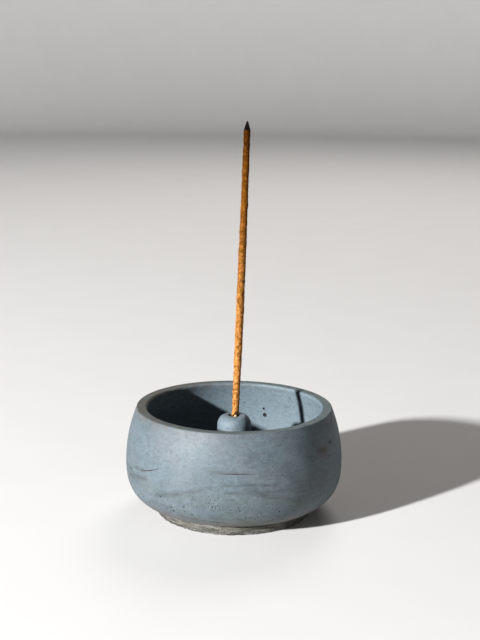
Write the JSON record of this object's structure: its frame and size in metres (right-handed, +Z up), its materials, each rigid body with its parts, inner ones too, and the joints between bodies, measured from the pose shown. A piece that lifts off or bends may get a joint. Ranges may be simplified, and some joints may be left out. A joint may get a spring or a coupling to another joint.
{
  "type": "incense burner",
  "caption": "Round concrete bowl with a low foot and a central post whose hole holds an upright incense stick.",
  "frame": {"origin": "middle of the underside of the bowl's foot", "axes": "+Z up along the axis of the bowl; the stick leans 1.7 degrees from it towards +X; -Y is the front"},
  "size_m": [0.12, 0.12, 0.2162],
  "materials": {
    "concrete": "matte",
    "adhesive": "matte",
    "bamboo": "satin",
    "incense_paste": "matte",
    "char": "matte"
  },
  "bodies": {
    "bowl": {"bowl": "concrete", "holder_post": "concrete", "adhesive_bed": "adhesive"},
    "stick": {"bamboo_core": "bamboo", "incense_coat": "incense_paste", "charred_tip": "char"}
  },
  "joints": [
    {"name": "stick_lift", "type": "slide", "parent": "bowl", "child": "stick", "axis": [0.0297, 0, 0.9996], "range_m": [0, 0.05]}
  ]
}
